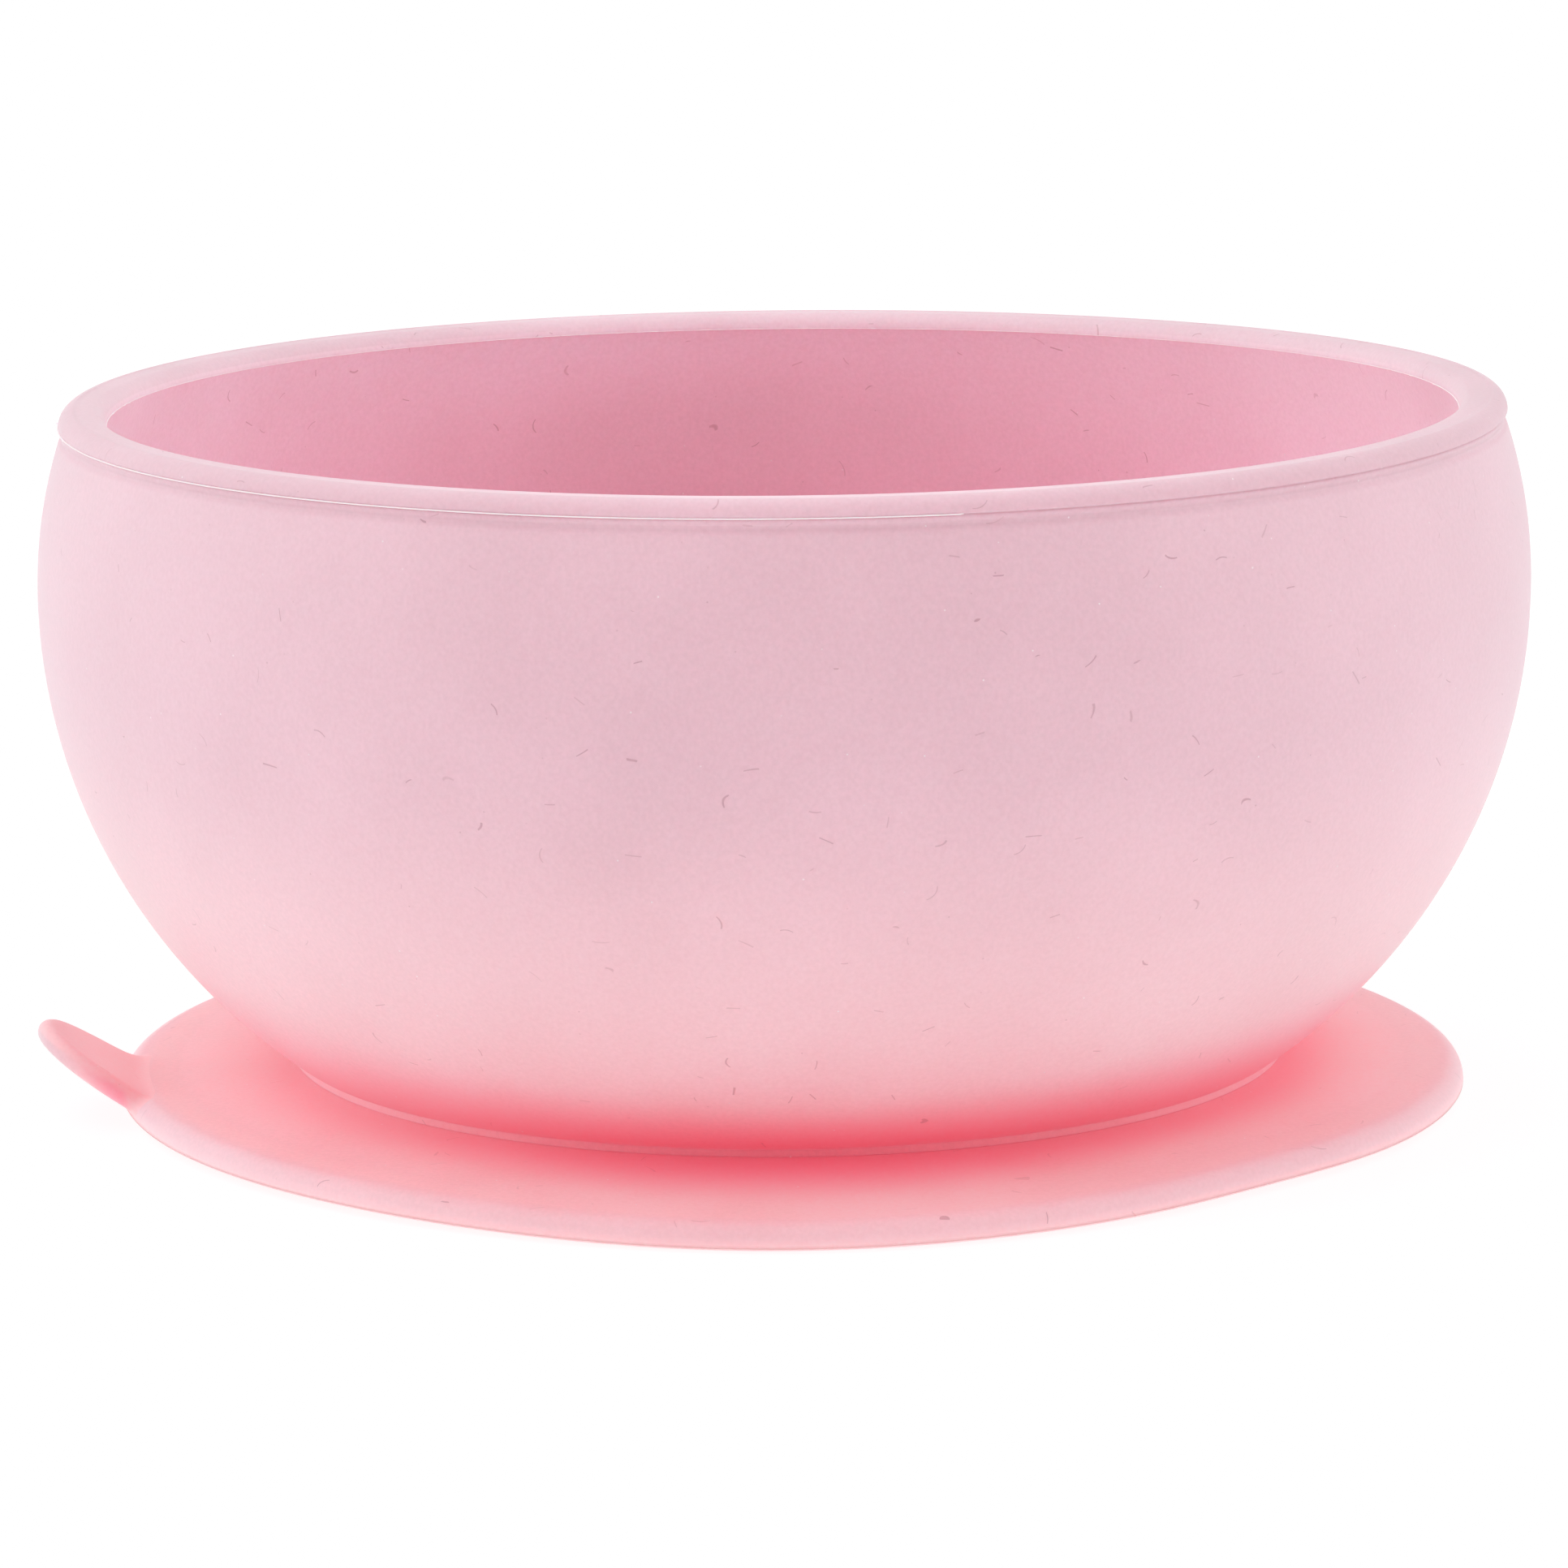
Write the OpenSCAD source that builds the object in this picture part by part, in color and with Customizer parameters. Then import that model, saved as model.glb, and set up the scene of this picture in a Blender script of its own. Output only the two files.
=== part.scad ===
// Suction bowl for baby feeding, moulded in soft silicone.
// +Z is up. The origin is on the bowl's axis, at the table plane.
// The release tab points along -X.

/* [Bowl] */
// Outer radius where the bowl is widest
belly_r = 63.3; // [61:0.1:66]
// Height of the widest place above the table
belly_z = 43.9; // [42.5:0.1:45]
// Radius of the wall's curve above the widest place
upper_arc_r = 40.8; // [39:0.1:44]
// Radius of the wall's curve below the widest place
lower_arc_r = 48.7; // [47.5:0.1:50]
// Thickness of the wall
wall = 3.35; // [2.6:0.05:3.8]
// Height of the rim's top above the table
rim_top_z = 59.5; // [58:0.1:61]
// Radius that rounds the rim inside and outside
rim_round = 1.37; // [1:0.01:1.4]
// How far the rim stands out past the wall
rim_step = 0.45; // [0.2:0.05:0.6]
// Height of the inside floor above the table
floor_z = 9.1; // [8.3:0.1:12]
// Height of the foot's lower edge above the table
foot_z = 3.5; // [3.3:0.05:3.8]

/* [Suction base] */
// Outer radius of the suction disc
disc_r = 57.4; // [56:0.1:60]
// Height of the sealing lip
lip_h = 2; // [1.95:0.05:2.2]
// Width of the sealing lip, measured along the radius
lip_w = 4.1; // [4:0.1:6]
// Width of the flat seat that touches the table
seat_w = 2.8; // [2:0.1:3]
// Radius that rounds the lip's outer edge
lip_round = 1.7; // [1:0.1:1.7]
// Radius of the hub that joins the disc to the bowl
hub_r = 39; // [34:0.5:40]
// Height of the hub's top, which is the underside of the bowl's floor
hub_top_z = 5.5; // [5.1:0.1:5.9]
// Thickness of the membrane between hub and lip
membrane_t = 1.2; // [0.8:0.05:1.4]
// Rise of the dome under the hub, from its edge to its centre
dome_rise = 1.7; // [0.4:0.1:2]

/* [Release tab] */
// Width of the tab at its root
tab_w = 14; // [12:0.5:18]
// Length of the tab from its flexing line to its tip
tab_len = 10.3; // [9.2:0.1:14]
// Thickness of the tab
tab_t = 1.9; // [1.6:0.1:1.9]
// Slope of the tab above the table as moulded, in degrees
tab_slope = 36; // [20:1:40]
// Play around the tab's flexing root
root_gap = 0.05; // [0.03:0.01:0.1]

/* [Hidden] */
$fn = 128;

// the rim's rounded part starts here
bead_z = rim_top_z - rim_round;
// centres of the wall's two curves, which meet at the widest place
upper_c = belly_r - upper_arc_r;
lower_c = belly_r - lower_arc_r;
// radius of a curve at a height
function arc_at(c, r, z) = c + sqrt(r * r - (z - belly_z) * (z - belly_z));
rim_in_r = arc_at(upper_c, upper_arc_r - wall, bead_z);
rim_out_r = arc_at(upper_c, upper_arc_r, bead_z) + rim_step;
// the membrane's faces at the hub and at the lip
lip_in_r = disc_r - lip_w;
mem_top_in = foot_z - 0.1;
mem_low_in = mem_top_in - membrane_t;
mem_low_out = lip_h - membrane_t;
seat_out_r = disc_r - 0.2;
// the line that the tab flexes about
hinge_x = -(disc_r - 1.2);
hinge_z = tab_t / 2;

silicone_bowl = [0.93, 0.74, 0.78];
silicone_base = [0.96, 0.64, 0.68];

// the wall's two curves as one filled outline, thinner by "less", between two heights
module belly_2d(less, z0, z1) {
    intersection() {
        translate([upper_c, belly_z]) circle(upper_arc_r - less);
        translate([0, belly_z]) square([belly_r + 5, z1 - belly_z]);
    }
    intersection() {
        translate([lower_c, belly_z]) circle(lower_arc_r - less);
        translate([0, z0]) square([belly_r + 5, belly_z - z0]);
    }
}

// the rim: a flat crown between two rounded edges
module rim_2d() {
    intersection() {
        union() {
            translate([rim_out_r - rim_round, bead_z]) circle(rim_round);
            translate([rim_in_r + rim_round, bead_z]) circle(rim_round);
            translate([rim_in_r + rim_round, bead_z])
                square([rim_out_r - rim_in_r - 2 * rim_round, rim_round]);
        }
        union() {
            translate([0, bead_z]) square([belly_r + 5, rim_round + 1]);
            translate([rim_out_r - rim_round, bead_z - rim_round - 1])
                square([rim_round + 5, rim_round + 2]);
        }
    }
}

// wall, floor, rim and foot in one moulding
module bowl_shell() {
    color(silicone_bowl) rotate_extrude() {
        difference() {
            belly_2d(0, foot_z, bead_z);
            belly_2d(wall, floor_z, bead_z + 1);
            translate([-1, foot_z - 1]) square([hub_r + 1, hub_top_z - foot_z + 1]);
        }
        rim_2d();
    }
}

// the stiff middle of the suction disc, domed underneath
module suction_hub() {
    color(silicone_base) rotate_extrude() polygon(concat(
        [for (i = [0:12]) let (r = hub_r * i / 12)
            [r, mem_low_in + dome_rise * (1 - (r / hub_r) * (r / hub_r))]],
        [[hub_r, hub_top_z], [0, hub_top_z]]
    ));
}

// the thin ring that bends when the bowl is pressed down
module suction_membrane() {
    color(silicone_base) rotate_extrude() polygon([
        [hub_r, mem_low_in], [lip_in_r, mem_low_out],
        [lip_in_r, lip_h], [hub_r, mem_top_in]
    ]);
}

// the ring that lies on the table and holds the vacuum in
module sealing_lip() {
    color(silicone_base) difference() {
        rotate_extrude() difference() {
            intersection() {
                translate([lip_in_r, 0]) square([lip_w, lip_h]);
                union() {
                    square([disc_r - lip_round, lip_h]);
                    square([disc_r, lip_h - lip_round]);
                    translate([disc_r - lip_round, lip_h - lip_round]) circle(lip_round);
                }
            }
            polygon([
                [lip_in_r - 1, -1], [seat_out_r - seat_w, -1], [seat_out_r - seat_w, 0],
                [lip_in_r, mem_low_out], [lip_in_r - 1, mem_low_out]
            ]);
            translate([seat_out_r, -1]) square([2, 1.2]);
        }
        // room for the tab's root, open above so that the tab can rise
        translate([hinge_x, 0, hinge_z]) rotate([90, 0, 0])
            cylinder(r = tab_t / 2 + root_gap, h = tab_w + 2 * root_gap, center = true);
        translate([hinge_x - 5, -tab_w / 2 - root_gap, -1])
            cube([5, tab_w + 2 * root_gap, lip_h + 3]);
        translate([hinge_x - 1, -tab_w / 2 - root_gap, hinge_z])
            cube([1 + tab_t / 2 + root_gap, tab_w + 2 * root_gap, lip_h + 3]);
    }
}

// the tab that a thumb lifts to let the air in
module release_tab() {
    color(silicone_base) translate([hinge_x, 0, hinge_z]) {
        rotate([90, 0, 0]) cylinder(r = tab_t / 2, h = tab_w, center = true);
        rotate([0, tab_slope, 0]) {
            translate([-(tab_len - tab_w / 2), -tab_w / 2, -tab_t / 2])
                cube([tab_len - tab_w / 2, tab_w, tab_t]);
            intersection() {
                translate([-(tab_len - tab_w / 2), 0, -tab_t / 2])
                    cylinder(r = tab_w / 2, h = tab_t);
                translate([-tab_len - 1, -tab_w, -tab_t])
                    cube([1 + tab_w / 2, 2 * tab_w, 2 * tab_t]);
            }
        }
    }
}

bowl_shell();
suction_hub();
suction_membrane();
sealing_lip();
release_tab();
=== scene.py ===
import math
import bpy
import numpy as np
from mathutils import Matrix, Vector


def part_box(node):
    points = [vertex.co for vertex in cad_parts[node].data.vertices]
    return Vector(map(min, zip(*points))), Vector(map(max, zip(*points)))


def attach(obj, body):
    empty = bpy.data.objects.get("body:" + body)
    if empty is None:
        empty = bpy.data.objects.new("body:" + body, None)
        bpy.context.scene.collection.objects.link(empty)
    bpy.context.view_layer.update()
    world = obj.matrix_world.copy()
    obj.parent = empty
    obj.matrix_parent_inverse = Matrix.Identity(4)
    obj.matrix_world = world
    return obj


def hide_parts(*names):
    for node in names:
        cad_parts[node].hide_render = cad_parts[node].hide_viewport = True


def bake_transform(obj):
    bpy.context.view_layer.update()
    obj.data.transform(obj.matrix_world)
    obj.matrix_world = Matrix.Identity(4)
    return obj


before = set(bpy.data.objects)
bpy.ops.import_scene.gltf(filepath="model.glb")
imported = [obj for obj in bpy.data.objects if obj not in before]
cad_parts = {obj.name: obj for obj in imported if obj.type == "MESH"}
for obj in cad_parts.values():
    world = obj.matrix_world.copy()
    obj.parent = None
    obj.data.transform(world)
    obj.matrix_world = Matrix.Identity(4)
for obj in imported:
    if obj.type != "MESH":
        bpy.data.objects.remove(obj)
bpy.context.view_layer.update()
MM = 0.001

# ---------------------------------------------------------------- sizes, from the frame, in millimetres
_, bowl_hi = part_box("bowl_shell")
lip_lo, lip_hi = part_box("sealing_lip")
hub_lo, hub_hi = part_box("suction_hub")
tab_lo, tab_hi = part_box("release_tab")
RIM_Z = bowl_hi.z / MM              # 59.5
BELLY_R = bowl_hi.x / MM            # 63.3
DISC_R = lip_hi.x / MM              # 57.4
LIP_H = lip_hi.z / MM               # 2
HUB_R = hub_hi.x / MM               # 39
HUB_TOP = hub_hi.z / MM             # 5.5
HUB_LOW = hub_lo.z / MM             # 2.2
FOOT_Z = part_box("bowl_shell")[0].z / MM     # 3.5
FLOOR_Z = HUB_TOP + 3.6
BELLY_Z = RIM_Z - 15.6
BETA = math.radians(9.0)            # how far the picture's view is turned, so that the tab shows a little forward
FRONT = -math.pi / 2 - BETA         # the azimuth that faces the camera
R_UP, R_LOW, WALL = 40.8, 48.7, 3.35
C_UP, C_LOW = BELLY_R - R_UP, BELLY_R - R_LOW
BEAD_R = 1.37
BEAD_Z = RIM_Z - BEAD_R


def arc_r(z, less=0.0):
    """Radius of the wall's curve at a height, on the outside, or "less" further in."""
    c, r = (C_UP, R_UP) if z >= BELLY_Z else (C_LOW, R_LOW)
    return c + math.sqrt((r - less) ** 2 - (z - BELLY_Z) ** 2)


RIM_IN = arc_r(BEAD_Z, WALL)
RIM_OUT = arc_r(BEAD_Z) + 0.45


def corner(c, r, a0, a1, n):
    return [(c[0] + r * math.cos(math.radians(a0 + (a1 - a0) * i / n)),
             c[1] + r * math.sin(math.radians(a0 + (a1 - a0) * i / n))) for i in range(n + 1)]


def smooth(a, b, x):
    t = np.clip((x - a) / (b - a), 0, 1)
    return t * t * (3 - 2 * t)


def bump(az, centre, width):
    """1 at an azimuth and falling away smoothly over a width, both in radians from the front, positive to the right."""
    d = (az - FRONT - centre + math.pi) % (2 * math.pi) - math.pi
    return np.exp(-(d / width) ** 2)


def ends(az):
    """1 at the front and back, 0 at the sides."""
    return np.maximum(bump(az, 0, math.radians(45)), bump(az, math.pi, math.radians(45)))


def rim_lift(az, z):
    """The soft rim isn't quite true: it stands a little higher to the right. Millimetres."""
    return 0.45 * bump(az, math.radians(93), math.radians(42)) * smooth(30, RIM_Z, z)


# ---------------------------------------------------------------- mesh helpers
def lathe(name, profile, segments, closed, warp=None, tags=None):
    """Turns a profile of (radius, height) in mm round the Z axis. closed joins its last point to its first.
    A point on the axis becomes a pole. warp(radius, height, azimuth) may move the points.
    tags gives named functions of (profile index, radius, height, azimuth), which the material reads."""
    prof = np.array(profile, float)
    seen = np.concatenate([[0], np.cumsum(np.hypot(*np.diff(prof, axis=0).T))])
    az = np.arange(segments) * 2 * math.pi / segments
    verts, rings = [], []
    for r, z in prof:
        if r < 1e-6:
            rings.append(("pole", len(verts)))
            verts.append((0.0, 0.0, z))
            continue
        rr, zz = np.full(segments, r), np.full(segments, z)
        if warp is not None:
            rr, zz = warp(rr, zz, az)
        rings.append(("ring", len(verts)))
        verts.extend(zip(rr * np.cos(az), rr * np.sin(az), zz))
    faces, uvs = [], []
    pairs = [(i, i + 1) for i in range(len(rings) - 1)]
    if closed:
        pairs.append((len(rings) - 1, 0))
    for i, j in pairs:
        (ka, a), (kb, b) = rings[i], rings[j]
        va, vb = seen[i], seen[j] if j > i else seen[i] + math.hypot(*(prof[j] - prof[i]))
        for k in range(segments):
            m = (k + 1) % segments
            u0, u1 = k * 2 * math.pi / segments * 60, (k + 1) * 2 * math.pi / segments * 60
            if ka == "pole" and kb == "pole":
                continue
            if ka == "pole":
                faces.append((a, b + k, b + m)); uvs += [(u0, va), (u0, vb), (u1, vb)]
            elif kb == "pole":
                faces.append((a + k, b, a + m)); uvs += [(u0, va), (u0, vb), (u1, va)]
            else:
                faces.append((a + k, b + k, b + m, a + m)); uvs += [(u0, va), (u0, vb), (u1, vb), (u1, va)]
    obj = build(name, np.array(verts) * MM, faces, uvs)
    for key, rule in (tags or {}).items():
        data = [rule(i, r, z, az if kind == "ring" else az[:1]) + 0 * (az if kind == "ring" else az[:1])
                for i, ((kind, _), (r, z)) in enumerate(zip(rings, prof))]
        obj.data.attributes.new(key, "FLOAT", "POINT").data.foreach_set("value", np.concatenate(data).astype(np.float32))
    return obj


def build(name, verts, faces, uvs=None):
    mesh = bpy.data.meshes.new(name)
    mesh.from_pydata([tuple(v) for v in verts], [], faces)
    mesh.update()
    if uvs is not None:
        layer = mesh.uv_layers.new(name="surface_mm")
        layer.data.foreach_set("uv", np.array(uvs, np.float32).ravel())
    obj = bpy.data.objects.new(name, mesh)
    bpy.context.scene.collection.objects.link(obj)
    mesh.polygons.foreach_set("use_smooth", [True] * len(mesh.polygons))
    # outward normals
    import bmesh
    bm = bmesh.new()
    bm.from_mesh(mesh)
    bmesh.ops.recalc_face_normals(bm, faces=bm.faces)
    if bm.calc_volume(signed=True) < 0:  # recalc can turn a closed ring inside out
        bmesh.ops.reverse_faces(bm, faces=bm.faces)
    bm.to_mesh(mesh)
    bm.free()
    mesh.update()
    return obj


# ---------------------------------------------------------------- materials
def silicone(name, low, high, within, deep, seed, reach, rough=0.5):
    """Matte moulded silicone: deep soft scattering, a fine mould grain, a powdery bloom that clouds it, and a little
    lint.
    low is its colour near the table and high its colour on the upper wall; the low one is warmer and brighter, painted
    light for the bounce from the table and disc. within is its colours at the bottom and top of the inside, painted
    shade that darkens down into the bowl, and deep is its colour down in the wedge at the foot, painted shade there.
    reach is how far red light travels in it."""
    mat = bpy.data.materials.new(name)
    mat.use_nodes = True
    nt = mat.node_tree
    nt.nodes.clear()

    def add(kind, **props):
        n = nt.nodes.new(kind)
        for k, v in props.items():
            setattr(n, k, v)
        return n

    def link(a, b):
        nt.links.new(a, b)

    def feed(socket, v):
        if isinstance(v, (int, float, tuple)):
            socket.default_value = v
        else:
            link(v, socket)

    def maths(op, a, b=None, clamp=False):
        n = add("ShaderNodeMath", operation=op, use_clamp=clamp)
        feed(n.inputs[0], a)
        if b is not None:
            feed(n.inputs[1], b)
        return n.outputs[0]

    def ramp(value, a, b, lo=0.0, hi=1.0, soft=False):
        n = add("ShaderNodeMapRange", interpolation_type="SMOOTHSTEP" if soft else "LINEAR")
        feed(n.inputs["Value"], value)
        for k, v in (("From Min", a), ("From Max", b), ("To Min", lo), ("To Max", hi)):
            n.inputs[k].default_value = v
        return n.outputs["Result"]

    def blend(a, b, factor, kind="MIX"):
        n = add("ShaderNodeMix", data_type="RGBA", blend_type=kind)
        feed(n.inputs["A"], a)
        feed(n.inputs["B"], b)
        feed(n.inputs["Factor"], factor)
        return n.outputs["Result"]

    def grey(value):
        n = add("ShaderNodeCombineColor")
        for i in range(3):
            feed(n.inputs[i], value)
        return n.outputs["Color"]

    out = add("ShaderNodeOutputMaterial")
    bsdf = add("ShaderNodeBsdfPrincipled")
    link(bsdf.outputs[0], out.inputs["Surface"])
    coord = add("ShaderNodeTexCoord")
    place = add("ShaderNodeMapping")
    place.inputs["Location"].default_value = (seed * 0.37, seed * 0.11, seed * 0.23)
    link(coord.outputs["Object"], place.inputs["Vector"])
    P = place.outputs["Vector"]
    height = add("ShaderNodeSeparateXYZ")
    link(coord.outputs["Object"], height.inputs[0])
    Z = height.outputs["Z"]

    def noise(scale, detail, rough_=0.5):
        n = add("ShaderNodeTexNoise")
        n.inputs["Scale"].default_value = scale
        n.inputs["Detail"].default_value = detail
        n.inputs["Roughness"].default_value = rough_
        link(P, n.inputs["Vector"])
        return n.outputs["Fac"]

    def scattered(cell):
        """The vector from the nearest of many scattered points, turned at random, and a random colour for each point."""
        v = add("ShaderNodeTexVoronoi", feature="F1", voronoi_dimensions="3D")
        v.inputs["Scale"].default_value = 1 / cell
        v.inputs["Randomness"].default_value = 1.0
        link(P, v.inputs["Vector"])
        d = add("ShaderNodeVectorMath", operation="SUBTRACT")
        link(P, d.inputs[0])
        link(v.outputs["Position"], d.inputs[1])
        far = add("ShaderNodeVectorMath", operation="LENGTH")
        link(d.outputs[0], far.inputs[0])
        t = add("ShaderNodeVectorMath", operation="SCALE")
        link(v.outputs["Color"], t.inputs[0])
        t.inputs["Scale"].default_value = 6.283
        r = add("ShaderNodeVectorRotate", rotation_type="EULER_XYZ")
        link(d.outputs[0], r.inputs["Vector"])
        link(t.outputs[0], r.inputs["Rotation"])
        s = add("ShaderNodeSeparateXYZ")
        link(r.outputs[0], s.inputs[0])
        c = add("ShaderNodeSeparateColor")
        link(v.outputs["Color"], c.inputs[0])
        return s, c, far.outputs["Value"]

    # the bloom, in slow clouds, with a finer mottle inside them
    mottle = noise(26, 3, 0.55)
    patches = noise(90, 2)
    grain = noise(2600, 2, 0.6)
    cloud = ramp(maths("ADD", maths("MULTIPLY", mottle, 0.7), maths("MULTIPLY", patches, 0.3)), 0.36, 0.64)
    # painted light: the colour runs from the low one up to the high one with height, the low colour standing for bounce
    # light from the table and disc
    level = ramp(maths("ADD", Z, maths("MULTIPLY", mottle, 0.002)), 0.011, 0.042, soft=True)
    colour = blend((*low, 1), (*high, 1), level)
    # painted shade inside the bowl: the inside colours run from the darker, deeper pink at its bottom to the lighter
    # one at its top
    inner = blend((*within[0], 1), (*within[1], 1), ramp(Z, 0.028, 0.057))
    def tag(key):
        return add("ShaderNodeAttribute", attribute_name=key).outputs["Fac"]

    painted_crease_shading, glow = tag("painted_crease_shading"), tag("glow")
    # mixed in by the attributes: the inside's painted shade, the painted shade at the foot, and a lighter pink that is
    # painted light on lit edges and tips
    for share, shade in ((tag("inside"), inner), (painted_crease_shading, (*deep, 1)), (tag("painted_light"), (0.83, 0.505, 0.57, 1))):
        colour = blend(colour, shade, share)
    # painted shade and painted highlight: the colour is darkened by this attribute, and lightened where it is below
    # zero
    colour = blend(colour, grey(maths("SUBTRACT", 1.0, tag("painted_shading"))), 1.0, "MULTIPLY")
    colour = blend(colour, grey(ramp(cloud, 0, 1, 0.945, 1.03)), 1.0, "MULTIPLY")
    colour = blend(colour, grey(ramp(grain, 0.3, 0.7, 0.955, 1.03)), 1.0, "MULTIPLY")
    # a few short curved hairs of lint, and specks of dust
    s, c, far = scattered(0.0033)
    bend = maths("MULTIPLY", maths("MULTIPLY", s.outputs["X"], s.outputs["X"]), 480.0)
    side = maths("ABSOLUTE", maths("ADD", s.outputs["Y"], bend))
    hair = maths("MULTIPLY", ramp(side, 0.00003, 0.00006, 1, 0),
                 maths("LESS_THAN", far, maths("ADD", maths("MULTIPLY", c.outputs["Green"], 0.0005), 0.0003)))
    hair = maths("MULTIPLY", hair, maths("LESS_THAN", c.outputs["Red"], 0.85))
    s2, c2, far2 = scattered(0.0017)
    dot = maths("MULTIPLY", ramp(far2, 0.00005, 0.0001, 1, 0), maths("LESS_THAN", c2.outputs["Red"], 0.8))
    mark = maths("MAXIMUM", maths("MULTIPLY", hair, maths("ADD", maths("MULTIPLY", c.outputs["Blue"], 0.3), 0.2)), maths("MULTIPLY", dot, maths("MULTIPLY", c2.outputs["Blue"], 0.4)))
    light = maths("MULTIPLY", dot, maths("GREATER_THAN", c2.outputs["Green"], 0.55))
    colour = blend(colour, (0.33, 0.17, 0.20, 1), mark)
    colour = blend(colour, (0.97, 0.86, 0.88, 1), maths("MULTIPLY", light, 0.6))
    link(colour, bsdf.inputs["Base Color"])

    # painted glow, standing for light carried inside the silicone: red down in the corner at the foot, warm where an
    # edge is thin
    painted_glow_colour = add("ShaderNodeCombineColor")
    for i, (a, b) in enumerate(((0.08, 0.16), (0.008, 0.08), (0.015, 0.08))):
        link(maths("ADD", maths("MULTIPLY", painted_crease_shading, a), maths("MULTIPLY", glow, b)), painted_glow_colour.inputs[i])
    link(painted_glow_colour.outputs["Color"], bsdf.inputs["Emission Color"])
    bsdf.inputs["Emission Strength"].default_value = 1.0

    link(ramp(patches, 0.3, 0.7, rough - 0.05, rough + 0.09), bsdf.inputs["Roughness"])
    bsdf.inputs["IOR"].default_value = 1.42
    bsdf.inputs["Subsurface Weight"].default_value = 0.7
    bsdf.inputs["Subsurface Radius"].default_value = (reach, 0.45 * reach, 0.55 * reach)
    bsdf.inputs["Subsurface Scale"].default_value = MM
    bsdf.inputs["Sheen Weight"].default_value = 0.12
    bsdf.inputs["Sheen Roughness"].default_value = 0.45
    bsdf.inputs["Sheen Tint"].default_value = (1.0, 0.95, 0.98, 1)

    bump = add("ShaderNodeBump")
    bump.inputs["Strength"].default_value = 0.35
    bump.inputs["Distance"].default_value = 0.00006
    rise = maths("ADD", maths("MULTIPLY", grain, 0.6), maths("MULTIPLY", noise(700, 2), 0.6))
    link(maths("ADD", rise, maths("MULTIPLY", mark, 1.5)), bump.inputs["Height"])
    link(bump.outputs["Normal"], bsdf.inputs["Normal"])
    return mat


# the outer wall's colours, low and high, the low one warmer and brighter with painted bounce light from the table and
# disc; the inside's colours, painted shade darkening towards its bottom; and the colour at the foot, painted shade
ROSE_LOW = (0.985, 0.555, 0.60)
ROSE_HIGH = (0.775, 0.478, 0.548)
ROSE_IN_SHADED = ((0.83, 0.37, 0.485), (0.97, 0.72, 0.79))
ROSE_FOOT_SHADE = (1.0, 0.25, 0.34)
mat_bowl = silicone("silicone_rose", ROSE_LOW, ROSE_HIGH, ROSE_IN_SHADED, ROSE_FOOT_SHADE, 1, 0.5)
mat_base = silicone("silicone_base_pink", (1.0, 0.48, 0.51), (1.0, 0.50, 0.54), ROSE_IN_SHADED, ROSE_FOOT_SHADE, 2, 0.2)
mat_tab = silicone("silicone_tab_pink", (1.0, 0.48, 0.51), (1.0, 0.50, 0.54), ROSE_IN_SHADED, ROSE_FOOT_SHADE, 2, 0.04)
# the flash lines' near-white pink is a painted highlight, the bright line that the thin ridges catch
mat_flash_highlight = silicone("silicone_flash_highlight", (0.99, 0.86, 0.88), (0.97, 0.84, 0.87), ROSE_IN_SHADED, ROSE_FOOT_SHADE, 3, 0.05)


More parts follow.
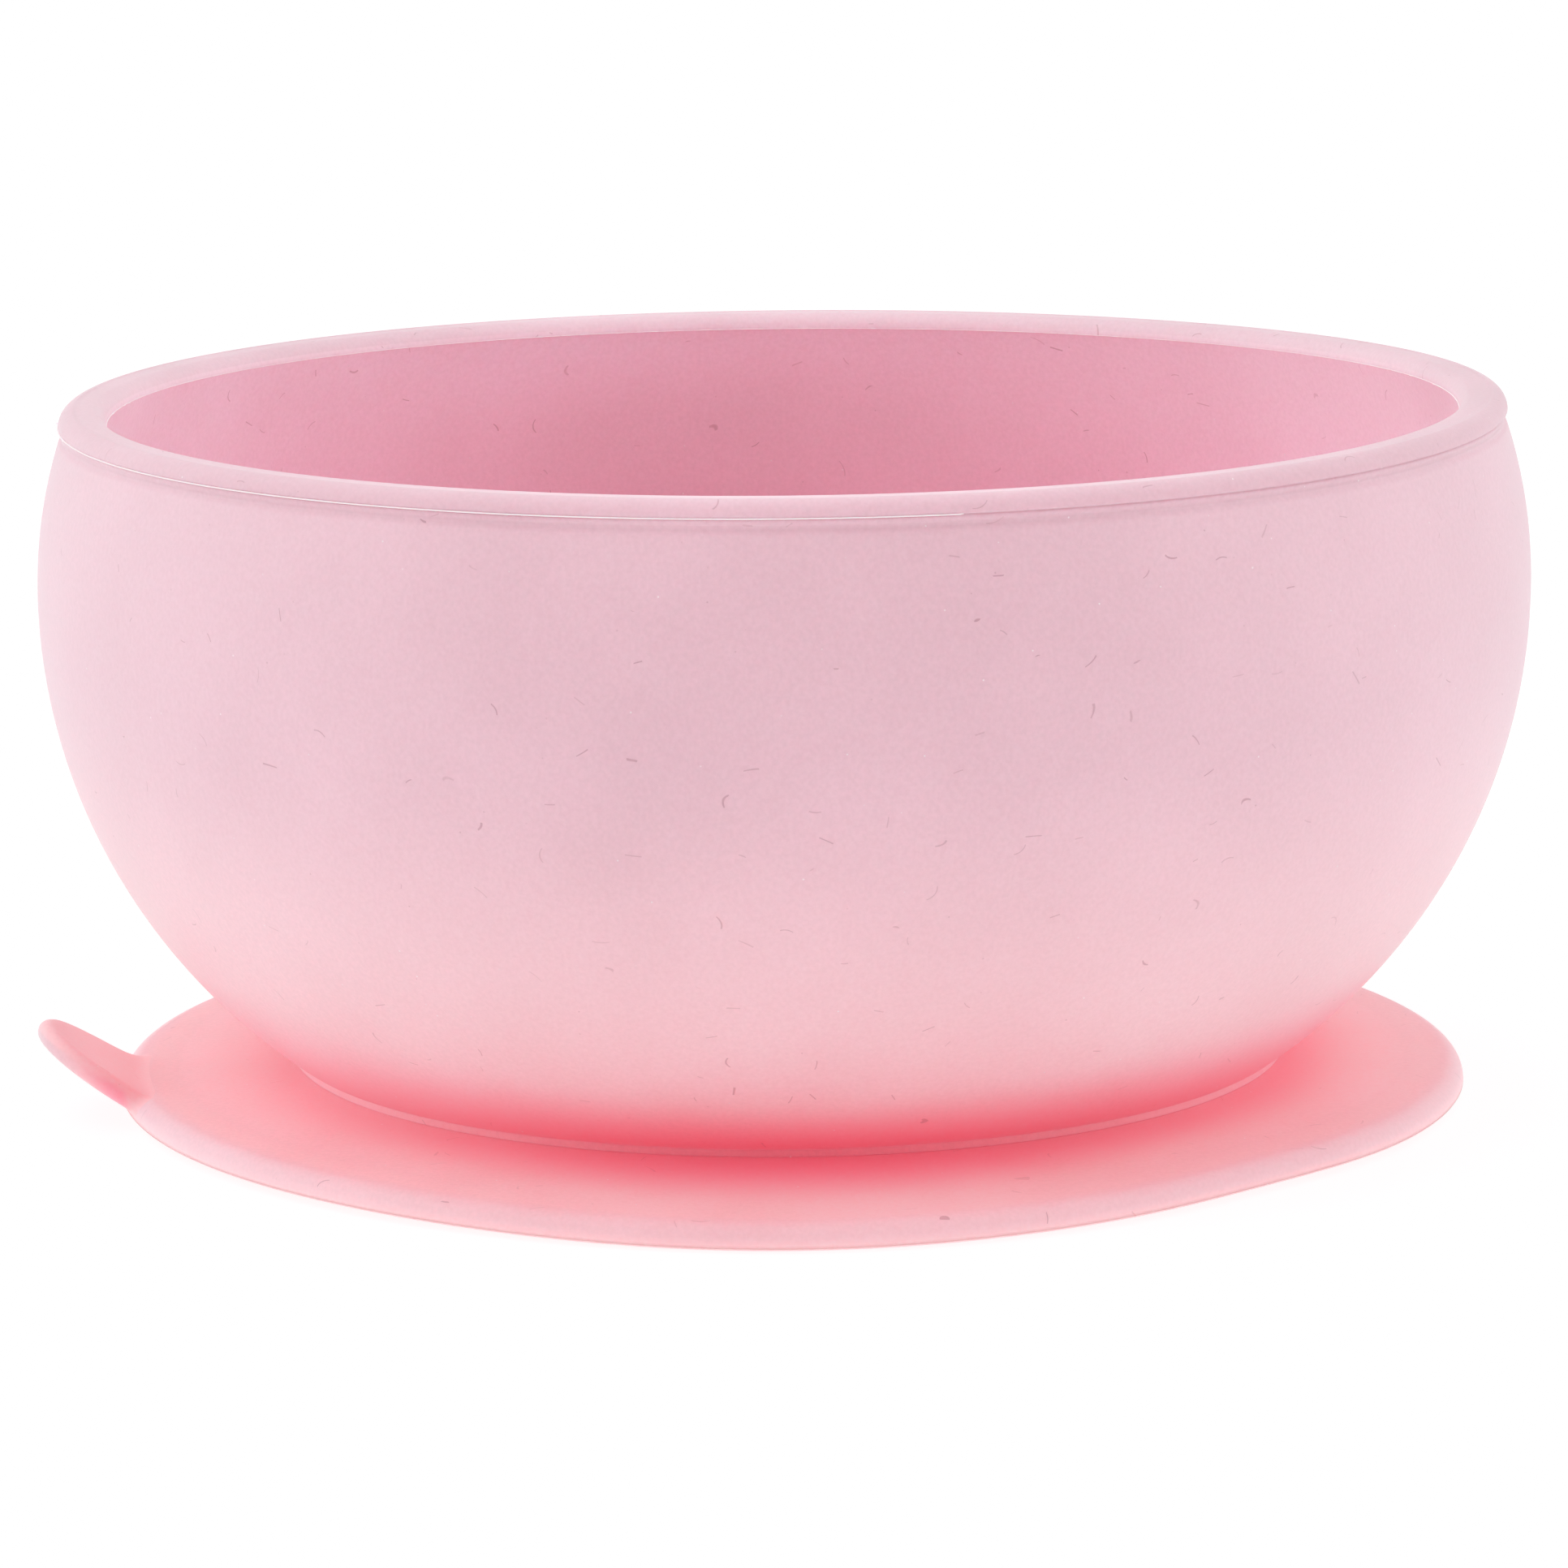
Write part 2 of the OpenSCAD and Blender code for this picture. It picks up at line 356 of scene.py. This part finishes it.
# ---------------------------------------------------------------- the bowl moulding
def bowl_profile():
    p = []
    # underside, from the axis out: the flat that the hub is moulded on, its rim and the foot
    p += [(0, HUB_TOP), (10, HUB_TOP), (20, HUB_TOP), (30, HUB_TOP), (HUB_R - 0.15, HUB_TOP)]
    p += [(HUB_R, HUB_TOP - 0.15), (HUB_R, FOOT_Z + 0.1)]
    foot_r = arc_r(FOOT_Z + 0.62) - 0.05
    p += corner((foot_r - 0.14, FOOT_Z + 0.14), 0.14, -90, 0, 4)
    p += [(foot_r + 0.01, FOOT_Z + 0.4)]
    p += corner((foot_r - 0.1, FOOT_Z + 0.62), 0.12, 0, 35, 3)
    # outside wall up to the soft groove under the rim
    for z in np.concatenate([np.linspace(FOOT_Z + 0.95, 12, 22), np.linspace(12.6, BEAD_Z - 2.6, 60)]):
        p.append((arc_r(z), z))
    g = BEAD_Z - 0.92
    for z in np.linspace(g - 1.2, g + 0.32, 14):
        p.append((arc_r(z) - 0.15 * math.exp(-((z - g) / 0.26) ** 2), z))
    # the band between groove and parting line bulges a little
    top = BEAD_Z - 0.02
    for t in np.linspace(0.12, 1, 9):
        z = g + 0.32 + (top - g - 0.32) * t
        p.append((arc_r(z) + 0.24 * math.sin(min(1, t * 1.2) * math.pi * 0.5) - 0.04 * smooth(0.8, 1.0, t), z))
    # rim: outer rounding, crown, inner rounding
    p += [(x, z) for x, z in corner((RIM_OUT - BEAD_R, BEAD_Z + 0.06), BEAD_R, 0, 90, 18)]
    p[-1] = (RIM_OUT - BEAD_R, RIM_Z)
    p += [(RIM_OUT - BEAD_R - 0.4, RIM_Z + 0.0), (RIM_IN + BEAD_R + 0.4, RIM_Z + 0.0)]
    p += corner((RIM_IN + BEAD_R, BEAD_Z), BEAD_R, 90, 176, 18)
    # inside wall
    p += [(RIM_IN + 0.06, BEAD_Z - 0.12)]
    for z in np.linspace(BEAD_Z - 0.45, 24, 50):
        p.append((arc_r(z, WALL), z))
    # down to the floor with a wide fillet
    f = 12.0
    cz = FLOOR_Z + f
    cr = C_LOW + math.sqrt((R_LOW - WALL - f) ** 2 - (BELLY_Z - cz) ** 2)
    ang = math.degrees(math.atan2(cz - BELLY_Z, cr - C_LOW))
    tz = cz + f * math.sin(math.radians(ang))
    for z in np.linspace(23, tz + 0.4, 12):
        p.append((arc_r(z, WALL), z))
    p += corner((cr, cz), f, ang, -90, 16)
    p += [(30, FLOOR_Z), (20, FLOOR_Z), (10, FLOOR_Z), (0, FLOOR_Z)]
    return p


def bowl_warp(r, z, az):
    return r, z + rim_lift(az, z)


profile = bowl_profile()
crown = RIM_IN + BEAD_R
past = [i for i, (r, z) in enumerate(profile) if z > RIM_Z - 0.3 and r < crown + 0.6][0]
rim_from = [i for i, (r, z) in enumerate(profile) if z > BEAD_Z - 0.8][0]


def leftward(az):
    """1 to the left of the view, 0 to the right."""
    return 0.5 - 0.5 * np.sin(az - FRONT)


def bowl_painted_crease_shading(i, r, z, az):
    """How much painted shade and red painted glow a point takes in the corner at the foot: less at the sides, least at
    the left.
    """
    if i >= past:
        return 0.0
    fade = 0.86 - (1 - ends(az)) * (0.15 + 0.36 * leftward(az))
    return fade * (0.5 + 0.5 * ends(az) if FOOT_Z + 0.1 < z < FOOT_Z + 0.66 else 1) * (1 - smooth(FOOT_Z + 0.8, FOOT_Z + 12.5 - 6.0 * ends(az), z))


def bowl_painted_shading(i, r, z, az):
    """Painted shade and painted highlight: darkens the pink where positive and lightens it where negative. Shade inside
    at the back low down and on the right higher up, on the left wall and low on the side walls, on the foot's land at
    front and back, and on the rim, most at its sides; highlight on the rim at front and back, with a brighter line
    along its inner edge at the front.
    """
    if i >= past + 16:
        deep = 1 - smooth(BEAD_Z - 10, BEAD_Z - 1, z)
        return 0.09 * bump(az, math.radians(186), math.radians(22)) * deep + 0.12 * bump(az, math.radians(95), math.radians(24)) * (1 - deep) - 0.01
    wall = 0.035 * bump(az, math.radians(-85), math.radians(42)) * smooth(8, 14, z) + 0.088 * (1 - ends(az)) * math.exp(-((z - 14.5) / 9) ** 2)
    if FOOT_Z + 0.1 < z < FOOT_Z + 0.66:
        return wall + 0.12 * ends(az)
    if i < rim_from:
        return wall
    line = 0.16 * bump(az, 0, math.radians(50)) if past - 1 <= i <= past + 3 else 0
    side = 0.05 * bump(az, math.radians(90), math.radians(26)) + 0.035 * bump(az, math.radians(-140), math.radians(26))
    return 0.085 + side - 0.12 * bump(az, math.radians(4), math.radians(28)) - 0.1 * bump(az, math.pi, math.radians(38)) - line


bowl = lathe("bowl_body", profile, 384, closed=False, warp=bowl_warp, tags={
    # painted shade: the inside takes its shaded colours
    "inside": lambda i, r, z, az: 0.0 if i < past else smooth(0, 1, (i - past) / 24),
    # painted shade and red glow in the corner at the foot, and painted shade and highlight over the walls, rim and
    # inside
    "painted_crease_shading": bowl_painted_crease_shading, "painted_shading": bowl_painted_shading,
    # painted glow along the foot's land, stronger at the sides
    "glow": lambda i, r, z, az: (0.1 + 0.35 * (1 - ends(az)) if FOOT_Z + 0.1 < z < FOOT_Z + 0.66 else 0)})
bowl.data.materials.append(mat_bowl)
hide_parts("bowl_shell")
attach(bowl, "bowl")


# ---------------------------------------------------------------- thin flash lines of the mould
def flash_ring(name, r, z, out, wide, tilt, seed, rag, fade):
    """A hair-thin ridge of silicone that the mould's joint leaves, its height uneven all round."""
    n = 1536
    rng = np.random.default_rng(seed)
    az = np.arange(n) * 2 * math.pi / n
    h = np.zeros(n)
    for k, a in ((3, 0.10), (7, 0.10), (17, 0.08), (41, 0.08), (97, 0.06)):
        h += a * np.cos(k * az + rng.uniform(0, 6.28))
    h = 1 + h
    right = (az - FRONT) % (2 * math.pi)
    gone = fade * smooth(math.radians(12.7), math.radians(13.2), right) * (1 - smooth(2.2, 2.6, right))
    h *= 1 - gone
    for c in rng.uniform(0, 2 * math.pi, rag):
        d = np.abs((az - c + math.pi) % (2 * math.pi) - math.pi)
        h += rng.uniform(0.4, 1.5) * np.exp(-(d / rng.uniform(0.0015, 0.006)) ** 2)
    ca, sa = math.cos(math.radians(tilt)), math.sin(math.radians(tilt))
    verts, faces = [], []
    # section: root low, low side, tip, high side, root high
    for i in range(n):
        o = out * h[i]
        for along, side in ((-0.12, -wide), (o * 0.55, -wide * 0.7), (o, 0.0), (o * 0.55, wide * 0.7), (-0.12, wide)):
            rr = r - 0.45 * gone[i] + along * ca - side * sa
            zz = z + along * sa + side * ca + rim_lift(az[i], z)
            verts.append((rr * math.cos(az[i]), rr * math.sin(az[i]), zz))
    uvs = []
    for i in range(n):
        j = (i + 1) % n
        for k in range(5):
            m = (k + 1) % 5
            faces.append((i * 5 + k, j * 5 + k, j * 5 + m, i * 5 + m))
            u0, u1 = az[i] * r, (az[i] + 2 * math.pi / n) * r
            uvs += [(u0, k * 0.1), (u1, k * 0.1), (u1, k * 0.1 + 0.1), (u0, k * 0.1 + 0.1)]
    return build(name, np.array(verts) * MM, faces, uvs)


flash_out = flash_ring("parting_flash", arc_r(BEAD_Z) + 0.40, BEAD_Z - 0.02, 0.16, 0.065, 6, 11, 40, 0.75)
flash_in = flash_ring("inner_flash", RIM_IN + 0.04, BEAD_Z + 0.02, 0.10, 0.035, 178, 12, 60, 0.0)
# painted highlight and painted glow: the flash lines take the near-white edge material and an even glow
for o in (flash_out, flash_in):
    o.data.materials.append(mat_flash_highlight)
    o.data.attributes.new("glow", "FLOAT", "POINT").data.foreach_set("value", np.full(len(o.data.vertices), 0.5, np.float32))
    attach(o, "bowl")


# ---------------------------------------------------------------- hub under the bowl
def hub_profile():
    p = [(HUB_R * i / 24, HUB_LOW + 1.7 * (1 - (i / 24) ** 2)) for i in range(25)]
    p += [(HUB_R, HUB_TOP)] + [(x, HUB_TOP) for x in (30, 20, 10, 0)]
    return p


hub = lathe("suction_core", hub_profile(), 192, closed=False)
hub.data.materials.append(mat_base)
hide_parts("suction_hub")
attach(hub, "bowl")


# ---------------------------------------------------------------- suction disc: membrane and lip in one skin
EDGE = 1.75
FOOT_R = arc_r(FOOT_Z + 0.62) + 0.1


def disc_profile():
    p = [(HUB_R + 0.0, FOOT_Z + 0.04), (HUB_R + 2.0, FOOT_Z + 0.04)]
    # top: flat under the foot, then out with a gentle fall, then over the rounded edge
    r_edge = DISC_R - EDGE
    for r in np.concatenate([np.linspace(FOOT_R, 46, 12), np.linspace(46.6, r_edge - 0.6, 22)]):
        t = (r - FOOT_R) / (r_edge - FOOT_R)
        p.append((r, FOOT_Z + 0.04 + (LIP_H - FOOT_Z - 0.04) * (1.25 * t - 0.25 * t * t)))
    p += corner((r_edge, LIP_H - EDGE), EDGE, 88, 8, 16)
    p += [(DISC_R, LIP_H - EDGE - 0.1)]
    p += corner((DISC_R - 0.22, 0.22), 0.22, 0, -90, 5)
    # seat, then the underside up to the hub
    p += [(DISC_R - 1.5, 0.0), (DISC_R - 2.9, 0.0)]
    p += corner((DISC_R - 3.1, 0.2), 0.2, -90, -135, 3)[1:]
    for r in np.linspace(DISC_R - 4.1, HUB_R, 16):
        t = (r - HUB_R) / (DISC_R - 4.1 - HUB_R)
        p.append((r, HUB_LOW + (1.0 - HUB_LOW) * t))
    return p


def disc_warp(r, z, az):
    """The soft disc lies down at the front and back, curls up a little between them, and its outline isn't quite round."""
    t = smooth(43, 54, r)
    low = np.maximum(bump(az, 0, math.radians(27)), bump(az, math.pi, math.radians(27)))
    out = 1.5 * bump(az, 0, math.radians(26)) + 0.6 * bump(az, math.radians(88), math.radians(30)) - 1.1 * bump(az, math.radians(43), math.radians(13))
    return r + out * t, z + (0.5 * (1 - low) + 0.25 * bump(az, math.radians(-115), math.radians(38))) * t


def disc_painted_light(r, z, az):
    """Painted light: the edge band is lighter, as if lit, most towards the tab, and the disc's top near the foot is
    lighter at the sides, more at the left.
    """
    much = 0.48 + 0.34 * bump(az, math.radians(-72), math.radians(32)) + 0.1 * bump(az, math.radians(50), math.radians(30))
    sides = (0.14 + 0.14 * leftward(az)) * (1 - ends(az)) * (1 - smooth(51, 54.5, r))
    return sides + much * smooth(DISC_R - EDGE - 1.3, DISC_R - 0.4, r) * smooth(0.1, 0.9, z)


profile = disc_profile()
disc = lathe("suction_disc", profile, 384, closed=True, warp=disc_warp, tags={
    # painted shade and red glow in the corner at the foot, painted light on the edge band, painted glow low on the edge
    # and near the foot at the sides, and painted shade on the edge to the right and towards the tab
    "painted_crease_shading": lambda i, r, z, az: (z > 2.3) * (1 - (1 - ends(az)) * (0.35 + 0.45 * leftward(az))) * (1 - smooth(FOOT_R + ends(az), FOOT_R + 6.0 + 4.0 * ends(az), r)),
    "painted_light": lambda i, r, z, az: disc_painted_light(r, z, az),
    "glow": lambda i, r, z, az: smooth(DISC_R - EDGE - 0.3, DISC_R - 0.3, r) * (1 - smooth(0.2, 1.3, z) + 0.7 * (1 - smooth(0.05, 0.35, z)))
    + (z > 2.3) * 0.33 * (1 - ends(az)) * (1 - smooth(50, 54, r)),
    "painted_shading": lambda i, r, z, az: 0.05 * bump(az, math.radians(80), math.radians(26)) * smooth(53, 56.5, r) + 0.03 * bump(az, math.radians(-81), math.radians(20)) * smooth(52, 54.5, r)})
disc.data.materials.append(mat_base)
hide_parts("sealing_lip", "suction_membrane")
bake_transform(disc)


# ---------------------------------------------------------------- release tab
SLOPE = math.radians(35.5)
TAB_START, TAB_TURN, TAB_LEN, TAB_THICK, TAB_MID = 54.0, 3.0, 12.2, 1.9, 1.25


def tab_half_width(s, side=-1):
    """Half the plan width at a place along the tongue, measured from the start of its bend. It is wider at its far root."""
    tip = 6.4
    q = np.clip((s - (TAB_LEN - tip)) / tip, 0, 1)
    more = 1.1 * (1 - smooth(0, 8, s)) if side > 0 else 0
    return (8.0 - 0.13 * np.maximum(s, 0) + more) * np.sqrt(np.maximum(0, 1 - q ** 2.45))


def tongue():
    """A sloped tongue with a rounded tip and full-round edges, bent up out of the disc's edge. Millimetres."""
    rho = TAB_TURN / SLOPE
    back = 2.2                             # how far it reaches into the disc
    ns, nv = 60, 40
    s = np.concatenate([np.linspace(-back, 4.5, 30)[:-1],
                        4.5 + (TAB_LEN - 4.5) * np.sin(np.linspace(0, math.pi / 2, ns - 29))])
    v = -np.cos(np.linspace(0, math.pi, nv + 1))
    # distance to the outline in plan, for the round edge
    ss = np.concatenate([np.linspace(-back, TAB_LEN - 0.4, 500), TAB_LEN - 0.4 * (1 - np.linspace(0, 1, 200)) ** 2])
    line = np.column_stack([np.concatenate([ss, ss[::-1]]),
                            np.concatenate([tab_half_width(ss, 1), -tab_half_width(ss)[::-1]])])

    def place(si, y, h):
        """From along, across and above the tongue's middle surface to the row frame."""
        if si <= 0:
            x, z, a = TAB_START + si, TAB_MID, 0.0
        elif si < TAB_TURN:
            a = si / rho
            x, z = TAB_START + rho * math.sin(a), TAB_MID + rho * (1 - math.cos(a))
        else:
            a = SLOPE
            x = TAB_START + rho * math.sin(a) + (si - TAB_TURN) * math.cos(a)
            z = TAB_MID + rho * (1 - math.cos(a)) + (si - TAB_TURN) * math.sin(a)
        return (-(x - h * math.sin(a)), y, z + h * math.cos(a) + 0.062 * max(y, 0) * (1 - float(smooth(0, 9, si))))

    verts, index = [], {}

    def vertex(key, p):
        if key not in index:
            index[key] = len(verts)
            verts.append(p)
        return index[key]

    grid = {}
    for side in (1, -1):
        for i, si in enumerate(s):
            hw = [float(tab_half_width(np.array([si]), k)[0]) for k in (-1, 1)]
            th = TAB_THICK * (1 - 0.08 * max(si, 0) / TAB_LEN)
            for j, vj in enumerate(v):
                y = hw[vj > 0] * vj
                if i == len(s) - 1:
                    grid[side, i, j] = vertex("tip", place(si, 0, 0))
                    continue
                if j in (0, nv):
                    grid[side, i, j] = vertex(("edge", i, j), place(si, y, 0))
                    continue
                d = float(np.min(np.hypot(line[:, 0] - si, line[:, 1] - y)))
                e = min(1.0, d / (th / 2))
                h = side * th / 2 * math.sqrt(max(0.0, 1 - (1 - e) ** 2))
                grid[side, i, j] = vertex((side, i, j), place(si, y, h))
    faces = []
    for side in (1, -1):
        for i in range(len(s) - 1):
            for j in range(nv):
                q = [grid[side, i, j], grid[side, i, j + 1], grid[side, i + 1, j + 1], grid[side, i + 1, j]]
                q = [x for k, x in enumerate(q) if x not in q[:k]]
                if len(q) > 2:
                    faces.append(tuple(q if side == 1 else q[::-1]))
    faces.append(tuple([grid[1, 0, j] for j in range(nv + 1)] + [grid[-1, 0, j] for j in range(nv - 1, 0, -1)]))
    return verts, faces


def root_patch():
    """A short arc of the disc's own edge, sunk a hair into it, thinning away at its ends and inner side. Millimetres."""
    loop = [(r, z) for r, z in disc_profile() if r > 50.2]
    n, half = 121, math.radians(15)
    verts, faces = [], []
    for k in range(n):
        a = math.pi + half * (2 * k / (n - 1) - 1)
        edge = abs(2 * k / (n - 1) - 1)
        for r, z in loop:
            rr, zz = disc_warp(np.array([r]), np.array([z]), np.array([a]))
            sink = 0.02 + 0.5 * smooth(0.75, 1.0, edge) + 0.5 * (1 - smooth(50.2, 52.6, r))
            mid_z, mid_r = 1.2, 53.5
            t = sink / 1.6
            rr = rr[0] + (min(rr[0], 55.9) - rr[0]) * t
            zz = zz[0] + (mid_z - zz[0]) * t
            verts.append((rr * math.cos(a), rr * math.sin(a), zz))
    m = len(loop)
    for k in range(n - 1):
        for i in range(m):
            j = (i + 1) % m
            faces.append((k * m + i, (k + 1) * m + i, (k + 1) * m + j, k * m + j))
    faces.append(tuple(range(m)))
    faces.append(tuple(range((n - 1) * m, n * m))[::-1])
    return verts, faces


def tab_mesh():
    """The tongue and the patch of edge round its root, grown together, with the inner corners filled softly."""
    parts = []
    for name, (verts, faces) in (("tongue", tongue()), ("patch", root_patch())):
        parts.append(build("tmp_" + name, np.array(verts) * MM, faces))
    import bmesh
    bm = bmesh.new()
    for o in parts:
        bm.from_mesh(o.data)
    mesh = bpy.data.meshes.new("tab_joined")
    bm.to_mesh(mesh)
    bm.free()
    for o in parts:
        data = o.data
        bpy.data.objects.remove(o)
        bpy.data.meshes.remove(data)
    obj = bpy.data.objects.new("tab_joined", mesh)
    bpy.context.scene.collection.objects.link(obj)
    mod = obj.modifiers.new("grow", "REMESH")
    mod.mode, mod.voxel_size, mod.adaptivity = "VOXEL", 0.00017, 0.0
    deps = bpy.context.evaluated_depsgraph_get()
    grown = bpy.data.meshes.new_from_object(obj.evaluated_get(deps))
    bpy.data.objects.remove(obj)
    co = np.zeros(len(grown.vertices) * 3)
    grown.vertices.foreach_get("co", co)
    co = co.reshape(-1, 3) / MM
    ed = np.zeros(len(grown.edges) * 2, int)
    grown.edges.foreach_get("vertices", ed)
    ed = ed.reshape(-1, 2)
    count = np.bincount(ed.ravel(), minlength=len(co)).astype(float)[:, None]
    # smoothing: everywhere a little, and much more in the corner between tongue and edge
    x, y, z = co.T
    near = np.exp(-((-x - 56.6) / 1.5) ** 2) * (1 - smooth(9.2, 11.0, np.abs(y)))
    for step in range(70):
        total = np.zeros_like(co)
        for k in range(3):
            total[:, k] = np.bincount(ed[:, 0], co[ed[:, 1], k], len(co)) + np.bincount(ed[:, 1], co[ed[:, 0], k], len(co))
        weight = 0.6 * near if step >= 6 else 0.5 + 0 * near
        co += (total / count - co) * weight[:, None]
    faces = [tuple(p.vertices) for p in grown.polygons]
    obj = build("tab_tongue", co * MM, faces)
    # painted shade: the side walls near the root are a deeper pink; painted light: the tip and the disc's edge lighter;
    # with painted shade on the tip and a painted glow towards the root
    x, y, z = co.T
    normal = np.zeros(len(co) * 3)
    obj.data.vertices.foreach_get("normal", normal)
    up = normal.reshape(-1, 3)[:, 2]
    painted_crease_shading = 0.75 * smooth(57.0, 58.0, -x) * (1 - smooth(58.2, 62.5, -x)) * (1 - smooth(0.15, 0.7, up)) * (1 - smooth(7.6, 9.4, np.abs(y)))
    painted_light = disc_painted_light(np.hypot(x, y), z, np.arctan2(y, x)) * smooth(7.0, 9.2, np.abs(y)) * (1 - smooth(58.2, 59.5, np.hypot(x, y)))
    tip = smooth(60.0, 64.5, -x) * (1 - smooth(0.3, 0.75, up))
    for key, v in (("painted_crease_shading", painted_crease_shading), ("painted_light", np.maximum(painted_light, 0.85 * tip)), ("painted_shading", 0.12 * tip), ("glow", 0.45 * (1 - smooth(59.5, 63, -x)))):
        obj.data.attributes.new(key, "FLOAT", "POINT").data.foreach_set("value", v.astype(np.float32))
    return obj


tab = tab_mesh()
tab.data.materials.append(mat_tab)
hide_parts("release_tab")
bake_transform(tab)


# ---------------------------------------------------------------- floor, light, camera
def floor_mesh():
    n, r = 96, 6.0
    verts = [(0, 0, -0.0002)] + [(r * math.cos(2 * math.pi * i / n), r * math.sin(2 * math.pi * i / n), -0.0002) for i in range(n)]
    faces = [(0, i + 1, (i + 1) % n + 1) for i in range(n)]
    mesh = bpy.data.meshes.new("floor")
    mesh.from_pydata(verts, [], faces)
    mesh.update()
    obj = bpy.data.objects.new("floor", mesh)
    bpy.context.scene.collection.objects.link(obj)
    return obj


floor = floor_mesh()
mat = bpy.data.materials.new("floor_white")
mat.use_nodes = True
nt = mat.node_tree
nt.nodes.clear()
out = nt.nodes.new("ShaderNodeOutputMaterial")
mix = nt.nodes.new("ShaderNodeAddShader")
dif = nt.nodes.new("ShaderNodeBsdfDiffuse")
dif.inputs["Color"].default_value = (0.25, 0.25, 0.25, 1)
emi = nt.nodes.new("ShaderNodeEmission")
emi.inputs["Color"].default_value = (1, 1, 1, 1)
# the floor is dark under the disc, which shades it
where = nt.nodes.new("ShaderNodeNewGeometry")
reach = nt.nodes.new("ShaderNodeVectorMath")
reach.operation = "LENGTH"
nt.links.new(where.outputs["Position"], reach.inputs[0])
glow = nt.nodes.new("ShaderNodeMapRange")
for k, v in (("From Min", 0.047), ("From Max", 0.053), ("To Min", 0.0), ("To Max", 0.92)):
    glow.inputs[k].default_value = v
nt.links.new(reach.outputs["Value"], glow.inputs["Value"])
nt.links.new(glow.outputs["Result"], emi.inputs["Strength"])
nt.links.new(dif.outputs[0], mix.inputs[0])
nt.links.new(emi.outputs[0], mix.inputs[1])
nt.links.new(mix.outputs[0], out.inputs["Surface"])
floor.data.materials.append(mat)

scene = bpy.context.scene
scene.view_settings.view_transform = "Standard"
scene.view_settings.look = "None"
# a gentle shoulder, as a camera gives, so that the brightest pinks keep their tone
scene.view_settings.use_curve_mapping = True
tone = scene.view_settings.curve_mapping
tone.white_level = (1.16, 1.16, 1.16)
tone.extend = "HORIZONTAL"
curve = tone.curves[3]
curve.points[0].location = (0, 0)
curve.points[1].location = (1, 1)
for x, y in ((0.3, 0.3), (0.6, 0.6), (0.8, 0.765), (0.95, 0.868), (1.06, 0.93)):
    curve.points.new(x / 1.16, y)
for p in curve.points:
    p.handle_type = "AUTO_CLAMPED"
tone.update()

world = bpy.data.worlds.new("studio")
scene.world = world
world.use_nodes = True
# soft light from all round: wide lobes of brightness to each side and above, the sides the brightest
SKY = [((-1, 0, 0), 2, 1.45), ((1, 0, 0), 2, 1.33), ((0, -1, 0), 2, 0.34), ((0, 1, 0), 2, 0.8), ((0, 0, 1), 2, 0.78),
       ((-0.7, 0, 0.714), 4, 1.15), ((0.7, 0, 0.714), 4, 0.72)]      # direction, how narrow, brightness
wt = world.node_tree
bg = wt.nodes["Background"]
w_out = wt.nodes["World Output"]
w_coord = wt.nodes.new("ShaderNodeTexCoord")
w_turn = wt.nodes.new("ShaderNodeMapping")
w_turn.inputs["Rotation"].default_value = (0, 0, BETA)
wt.links.new(w_coord.outputs["Generated"], w_turn.inputs["Vector"])


def w_maths(op, a, b):
    n = wt.nodes.new("ShaderNodeMath")
    n.operation = op
    for i, v in enumerate((a, b)):
        if isinstance(v, (int, float)):
            n.inputs[i].default_value = v
        else:
            wt.links.new(v, n.inputs[i])
    return n.outputs[0]


total = 0.0
for way, narrow, bright in SKY:
    dot = wt.nodes.new("ShaderNodeVectorMath")
    dot.operation = "DOT_PRODUCT"
    wt.links.new(w_turn.outputs["Vector"], dot.inputs[0])
    dot.inputs[1].default_value = way
    part = w_maths("POWER", w_maths("MAXIMUM", dot.outputs["Value"], 0.0), narrow)
    total = w_maths("ADD", w_maths("MULTIPLY", part, bright), total)
wt.links.new(total, bg.inputs["Strength"])
bg.inputs["Color"].default_value = (1, 1, 1, 1)
# the backdrop itself is plain white
plain = wt.nodes.new("ShaderNodeBackground")
plain.inputs["Color"].default_value = (1, 1, 1, 1)
plain.inputs["Strength"].default_value = 1.2
path = wt.nodes.new("ShaderNodeLightPath")
either = wt.nodes.new("ShaderNodeMixShader")
wt.links.new(path.outputs["Is Camera Ray"], either.inputs["Fac"])
wt.links.new(bg.outputs[0], either.inputs[1])
wt.links.new(plain.outputs[0], either.inputs[2])
wt.links.new(either.outputs[0], w_out.inputs["Surface"])

# the camera, placed by the view of the object: turned so that the tab shows at the left, a little forward
cam_data = bpy.data.cameras.new("camera")
cam = bpy.data.objects.new("camera", cam_data)
scene.collection.objects.link(cam)
scene.camera = cam
cam_data.sensor_fit = "HORIZONTAL"
cam_data.sensor_width = 36
cam_data.lens = 157.735
cam_data.clip_start, cam_data.clip_end = 0.01, 20
elev, roll = math.radians(10.783), math.radians(-0.5562)
fwd = Vector((0, math.cos(elev), -math.sin(elev)))
right = Vector((1, 0, 0))
up = right.cross(fwd)
r2 = right * math.cos(roll) + up * math.sin(roll)
u2 = -right * math.sin(roll) + up * math.cos(roll)
turn = Matrix.Rotation(-BETA, 4, "Z")
m = Matrix(((r2.x, u2.x, -fwd.x, -0.00019), (r2.y, u2.y, -fwd.y, -0.578595), (r2.z, u2.z, -fwd.z, 0.13563 + 0.0005), (0, 0, 0, 1)))
cam.matrix_world = turn @ m

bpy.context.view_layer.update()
